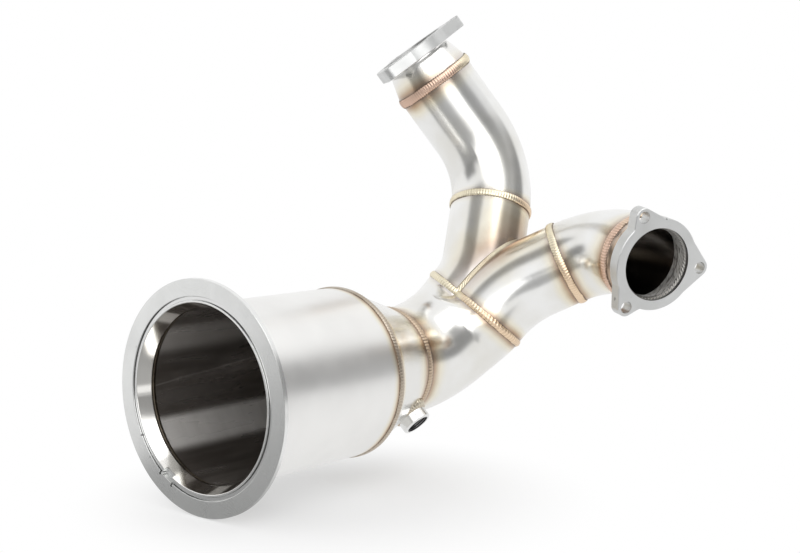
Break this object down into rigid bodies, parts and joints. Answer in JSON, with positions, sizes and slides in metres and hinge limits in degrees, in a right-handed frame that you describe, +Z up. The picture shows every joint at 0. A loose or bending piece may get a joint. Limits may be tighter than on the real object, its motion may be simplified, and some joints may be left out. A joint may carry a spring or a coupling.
{
  "type": "turbo downpipe",
  "caption": "Welded downpipe with a clamp-flanged can, a cone and a bent trunk that splits into two branches with bolted flanges and a sensor bung.",
  "frame": {"origin": "centre of the clamp flange's front face", "axes": "+X runs along the can's axis, from the clamp flange to the pipes; +Z is up as the part lies in the picture"},
  "size_m": [0.3458, 0.2734, 0.3423],
  "materials": {
    "tube": "satin, softly brushed",
    "machined": "fine machined, nearly matte",
    "ring": "bright",
    "weld": "straw to bronze, rippled"
  },
  "bodies": {
    "root": {"turbo_flange": "machined", "groove_ring": "ring", "can_shell": "tube", "end_cone": "tube", "sensor_bung": "machined", "trunk_bend": "tube", "left_merge_tube": "tube", "right_merge_tube": "tube", "left_upper_bend": "tube", "right_upper_bend": "tube", "left_stub": "tube", "right_stub": "tube", "left_flange": "machined", "right_flange": "machined", "flange_weld": "weld", "can_cone_weld": "weld", "cone_trunk_weld": "weld", "bung_weld": "weld", "merge_ring_weld": "weld", "crotch_weld": "weld", "left_mid_weld": "weld", "right_mid_weld": "weld", "left_stub_weld": "weld", "right_stub_weld": "weld", "left_flange_weld": "weld", "right_flange_weld": "weld"}
  },
  "joints": []
}
